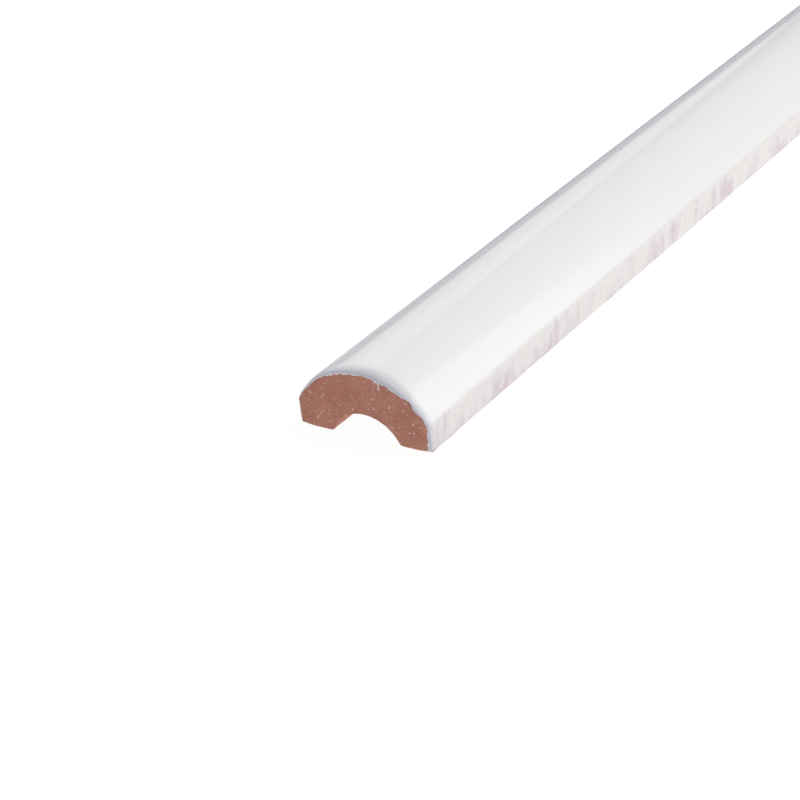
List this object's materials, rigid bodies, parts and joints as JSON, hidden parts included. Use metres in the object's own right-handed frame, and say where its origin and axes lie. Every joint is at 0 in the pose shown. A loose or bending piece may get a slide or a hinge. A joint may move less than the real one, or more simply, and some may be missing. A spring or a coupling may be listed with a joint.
{
  "type": "quarter round tile trim",
  "caption": "Straight ceramic tile trim: a strip of red clay with a white glazed domed face, short flat sides and a hollowed back between flat feet, for edging tiled surfaces.",
  "frame": {"origin": "middle of the strip's outer box, on the plane of its feet", "axes": "+Y along the strip, +Z from the feet up to the crown of the dome, +X across the strip"},
  "size_m": [0.025, 0.2, 0.0121],
  "materials": {
    "fired_red_clay": "bare fired terracotta, matt and slightly grainy",
    "white_glaze": "glossy opaque white glaze"
  },
  "bodies": {
    "root": {"clay_body": "fired_red_clay", "glaze_coat": "white_glaze"}
  },
  "joints": []
}
